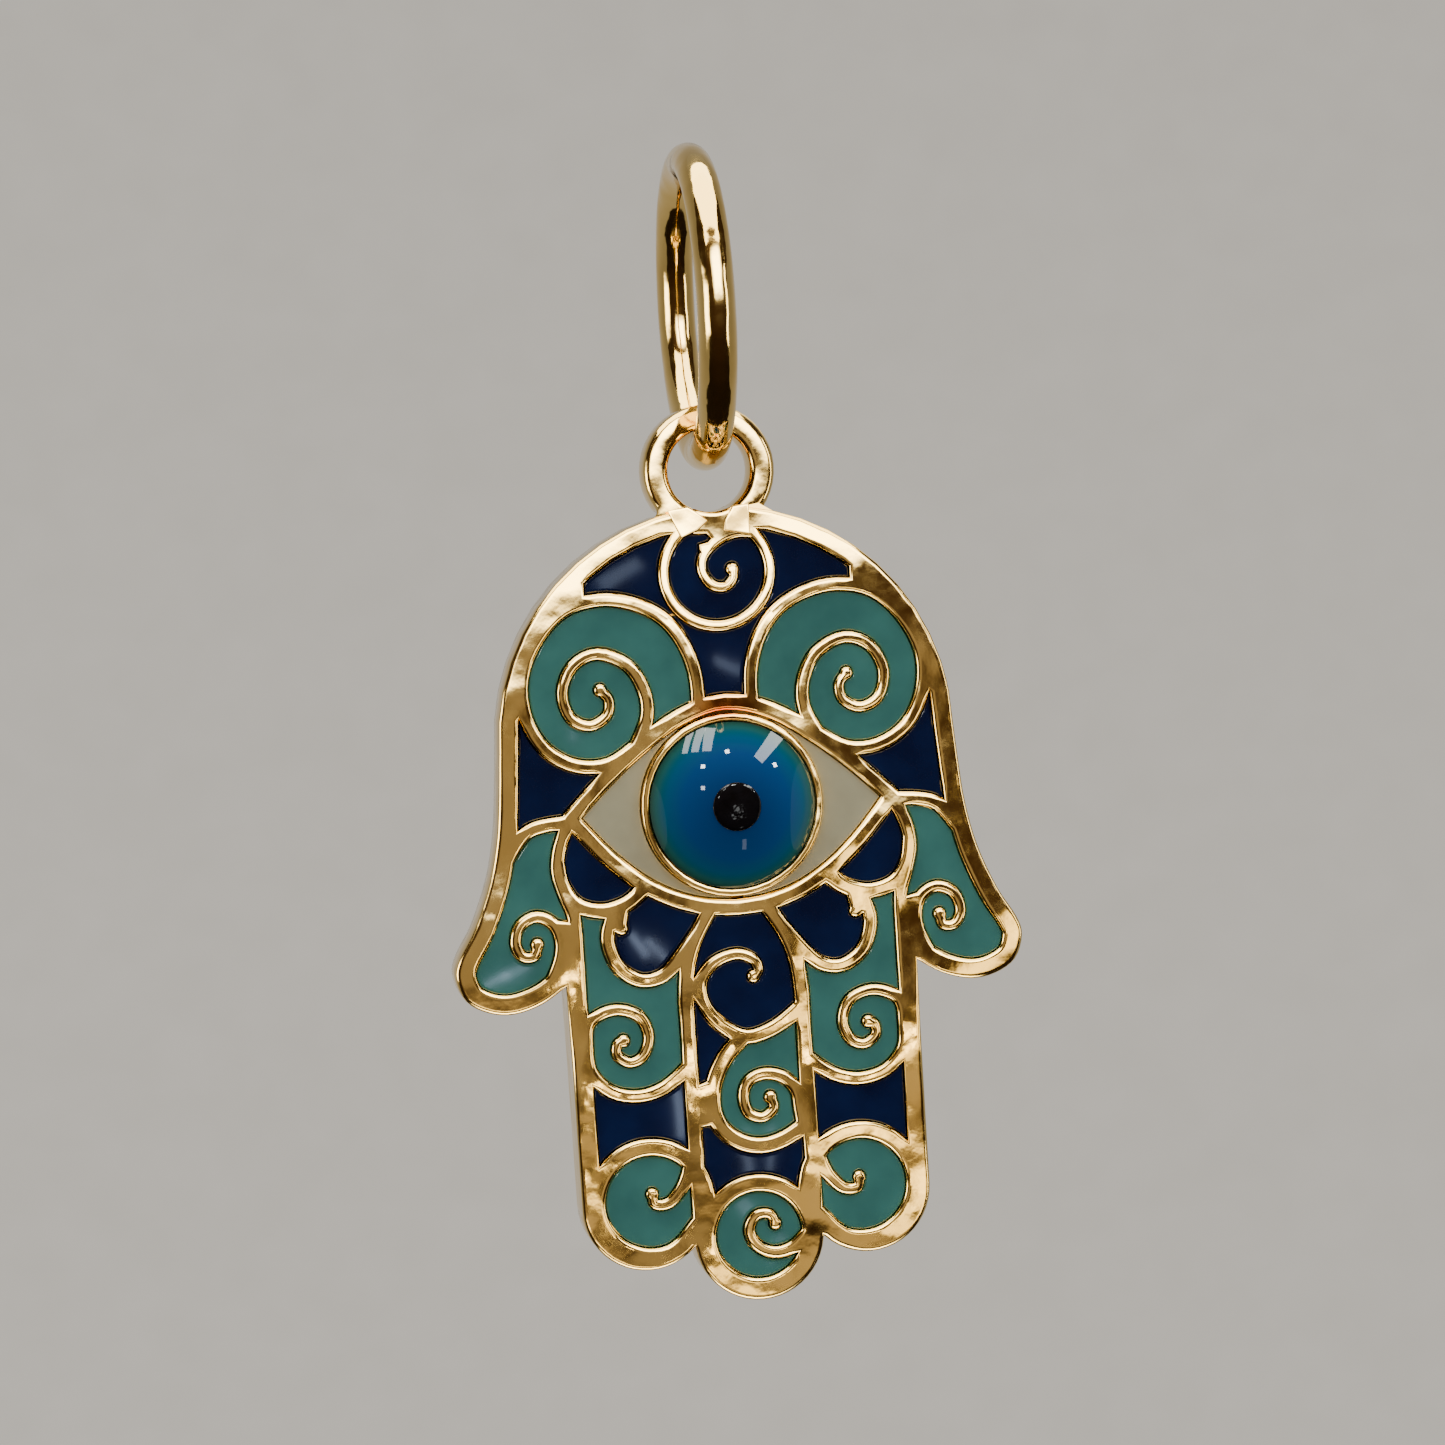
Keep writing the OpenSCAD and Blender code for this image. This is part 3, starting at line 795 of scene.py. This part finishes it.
def lamp(name, place, size, brightness, tint=WHITE, roll=0.0, only_on=None, soft=False):
    """An area lamp size millimetres wide and high that looks at the pendant."""
    light = bpy.data.lights.new(name, "AREA")
    light.shape = "RECTANGLE"
    light.size, light.size_y = size[0] * MM, size[1] * MM
    light.energy = brightness * math.pi * size[0] * size[1] * MM * MM
    light.color = colour(tint)[:3]
    if soft:
        soften(light)
    obj = bpy.data.objects.new(name, light)
    bpy.context.collection.objects.link(obj)
    facing = (place - TARGET).to_track_quat("Z", "Y")
    rolled = Matrix.Rotation(math.radians(roll), 3, "Z").to_quaternion()
    obj.rotation_euler = (facing @ rolled).to_euler()
    obj.location = place
    obj.visible_camera = False
    if only_on:
        obj.light_linking.receiver_collection = only_on
    return obj


def group(name, *pieces):
    """A collection that a lamp can be kept to."""
    collection = bpy.data.collections.new(name)
    for piece in pieces:
        collection.objects.link(piece)
    return collection


on_gold = group("on gold", gold_hand, ring, *fillets)
on_hand = group("on hand", gold_hand)
on_fillets = group("on fillets", *fillets)
on_pupil = group("on pupil", pupil)
on_enamel = group("on enamel", *enamels["navy"], *enamels["teal"])
on_glass = group("on glass", iris, pupil, *enamels["navy"], *enamels["teal"], *enamels["eye"])

# %% [markdown]
# Two windows and four ceiling lamps show in the dome, as in the photograph. The left window has
# three panes, and a last pane is a faint reflection below the pupil. Pale bluish strips cross the
# enamels. A window pane and a strip are given by where they show in millimetres, their width and
# height, their turn in degrees and their brightness. A low lamp fills the enamels from below, and
# is kept out of their mirror.

# %% Windows, ceiling lamps and strips
WINDOW = "#f2f6f4"
STRIP = "#cfe2ff"
panes = [
    (-0.77, 1.22, 14, 66, 24, 12),
    (-0.59, 1.24, 18, 70, 14, 12),
    (-0.4, 1.24, 22, 70, 4, 12),
    (0.73, 1.05, 26, 120, -80, 12),
    (0.1, -0.72, 10, 28, 8, 2),
]
for number, (x, z, wide, tall, roll, brightness) in enumerate(panes):
    lamp("window_%d" % number, in_dome(x, z), (wide, tall), brightness, WINDOW, roll, on_glass)
ceiling_lamps = [(-0.56, 0.76, 70), (-0.09, 1.0, 70), (0.78, 0.69, 70), (-0.6, 0.37, 25)]
for number, (x, z, brightness) in enumerate(ceiling_lamps):
    lamp("ceiling_lamp_%d" % number, in_dome(x, z), (10, 10), brightness, WINDOW, only_on=on_glass)
strips = [
    (-1.85, -13.85, 0.35, 1.6, 32, 9),
    (-1.55, -13.95, 0.25, 1.5, 32, 9),
    (-4.5, -14.3, 0.3, 1.5, -62, 9),
    (-4.15, -14.15, 0.3, 1.5, -58, 7),
    (-1.32, -17.0, 0.45, 2.6, 3, 7),
    (-0.15, -17.85, 0.45, 2.4, 3, 4),
    (0.3, -17.8, 0.35, 2.2, -5, 4),
    (-0.2, -18.9, 0.8, 1.4, 30, 3),
    (0.3, -19.6, 0.4, 1.4, -40, 3),
    (0.1, -8.85, 0.45, 1.6, 60, 4),
    (-1.8, -7.1, 0.8, 2.4, -62, 3),
    (-2.84, -9.85, 0.12, 1.3, 0, 6),
]
for number, (x, z, wide, tall, roll, brightness) in enumerate(strips):
    lamp("strip_lamp_%d" % number, in_flat(x, z), (wide, tall), brightness, STRIP, roll, on_enamel)
lamp("pupil_glint", in_dome(0, -0.08), (16, 20), 3, WINDOW, only_on=on_pupil)
low_fill = lamp("low_fill", around(0, -50), (200, 80), 1.1, WINDOW, only_on=on_glass)
low_fill.visible_glossy = False
print("window panes:", len(panes), "ceiling lamps:", len(ceiling_lamps), "strips:", len(strips))

# %% [markdown]
# The gold gets boxes of its own. Two dim ones in front give the flats their brown gold, and bright
# ones above, below and at the sides draw the pale lines along the shoulders of the wires. The
# gently domed front mirrors a different direction at each place, so four more stand just where
# the rim on the right, the finger tips, the foot of the left thumb and the corner beside it
# mirror them: they give the broken pale patches that make polished gold look like metal.

# %% Boxes for the gold
WARM = "#fff3d6"
YELLOW = "#ffe8ae"
HONEY = "#ffeccc"
AMBER = "#ffe6bd"
PALE = "#fff8e6"
FAR = 160 * MM
lamp("gold_front", around(-6, -3), (104, 90), 0.24, HONEY, only_on=on_hand, soft=True)
lamp("gold_low", around(4, -27), (150, 56), 0.45, AMBER, only_on=on_hand, soft=True)
lamp("gold_block", around(8, -13), (9, 8), 12, YELLOW, only_on=on_hand)
lamp("gold_edge", around(29, -9), (58, 52), 3.0, YELLOW, only_on=on_hand, soft=True)
lamp("gold_tips", around(16, -14), (54, 24), 2.6, YELLOW, only_on=on_hand, soft=True)
lamp("gold_thumb", around(-11, -29), (66, 22), 3.4, YELLOW, only_on=on_hand, soft=True)
lamp("gold_flash", around(10, 27, FAR), (200, 105), 10, PALE, only_on=on_gold, soft=True)
lamp("gold_sky", around(0, 82), (240, 190), 9, WARM, only_on=on_gold)
lamp("gold_foot", around(0, -64), (200, 80), 9, WARM, only_on=on_hand, soft=True)
lamp("gold_left", around(-70, 5, FAR), (110, 110), 8, WARM, only_on=on_gold, soft=True)
lamp("gold_back", around(150, 35), (160, 120), 1.0, WARM, only_on=on_hand, soft=True)
lamp("gold_right", around(62, 5), (26, 120), 9, WARM, only_on=on_gold)
lamp("solder_flash", around(8, 12), (190, 130), 4, WARM, only_on=on_fillets)
gold_boxes = [light.name for light in bpy.data.lights if light.name.startswith("gold_")]
print("boxes for the gold:", len(gold_boxes), "and one for the solder")

# %% [markdown]
# Two long lamps above the pendant light the wall behind it and, more weakly, the wall in front of
# it, which is the backdrop of the views from behind. Each is given by its azimuth, the side that
# it is tilted to and its brightness. A pale grey room gives the rest.

# %% Wall lamps and the room
WALL_TINT = "#fffaf2"
WALL_TILT = math.radians(65)
wall_lamps = [(180, 1, 8), (0, -1, 2.5)]
for azimuth, side, brightness in wall_lamps:
    wall_lamp = lamp("wall_lamp", around(azimuth, 60), (240, 100), brightness, WALL_TINT)
    wall_lamp.rotation_euler = (WALL_TILT * side, 0, 0)

ROOM_TONE = "#e9e6e2"
ROOM_BRIGHTNESS = 0.5
world = bpy.data.worlds.new("soft room")
world.use_nodes = True
room = world.node_tree.nodes["Background"]
room.inputs["Color"].default_value = colour(ROOM_TONE)
room.inputs["Strength"].default_value = ROOM_BRIGHTNESS
bpy.context.scene.world = world

# %% [markdown]
# A sheet of dark brown card is bent round the pendant's front. It keeps the pale room out of the
# glass and gives the gold its brown shades, darker towards its foot. It starts as a tube along
# the X axis, and the part behind the pendant is cut off. Only mirrors see it: the camera looks
# through it, and it casts no shadow.

# %% The dark card
CARD_R = 190 * MM
CARD_W = 1600 * MM
CARD_UP = 100
CARD_DOWN = 110
CARD_TONES = ((0.0, "#2a1a0e"), (0.6, "#4a2f1a"), (1.0, "#5a4028"))
bpy.ops.object.select_all(action="DESELECT")
bpy.ops.mesh.primitive_cylinder_add(
    vertices=72, radius=CARD_R, depth=CARD_W, end_fill_type="NOTHING",
    rotation=(0, math.pi / 2, 0), location=TARGET,
)
card = bpy.context.active_object
card.name = "dark_card"
bpy.ops.object.transform_apply(location=True, rotation=True, scale=True)


def behind_pendant(face):
    """True for a face of the tube more than some degrees up or down from straight in front."""
    place = face.calc_center_median() - TARGET
    turn = math.degrees(math.atan2(place.z, -place.y))
    return turn > CARD_UP or turn < -CARD_DOWN


edit(card)
pick_faces(card, behind_pendant)
bpy.ops.mesh.delete(type="FACE")
leave()
only(card)
bpy.ops.object.shade_smooth()
board, board_tree, board_place = new_material("dark card")
parts = add(board_tree, "ShaderNodeSeparateXYZ", {"Vector": board_place})
rise = add(board_tree, "ShaderNodeMapRange", {
    "Value": parts.outputs["Z"], "From Min": TARGET.z - CARD_R, "From Max": TARGET.z + CARD_R * 0.2})
finish_material(board_tree, add(board_tree, "ShaderNodeBsdfPrincipled", {
    "Base Color": ramp(board_tree, rise.outputs["Result"], *CARD_TONES), "Roughness": 0.9}))
card.data.materials.append(board)
card.visible_camera = False
card.visible_shadow = False
card.visible_diffuse = False
card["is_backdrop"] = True
print("dark card:", len(card.data.polygons), "faces")

# %% [markdown]
# The camera has the angle of the photograph and its lean, because the pendant hangs with its foot
# swung a few degrees to the right. It stands nearer, so that the jewel fills the square frame.

# %% Camera
CAMERA_LEAN = 3.7
lens = bpy.data.cameras.new("camera")
lens.lens = LENS
lens.sensor_width = SENSOR
lens.clip_start = 1 * MM
lens.clip_end = 2000 * MM
camera = bpy.data.objects.new("camera", lens)
bpy.context.collection.objects.link(camera)
aim = (-direction(CAMERA_AZIMUTH, CAMERA_ELEVATION)).to_track_quat("-Z", "Y").to_matrix().to_4x4()
lean = Matrix.Rotation(-math.radians(CAMERA_LEAN), 4, "Z")
camera.matrix_world = Matrix.Translation(camera_place) @ aim @ lean
bpy.context.scene.camera = camera
print("camera at", [round(c / MM) for c in camera_place])
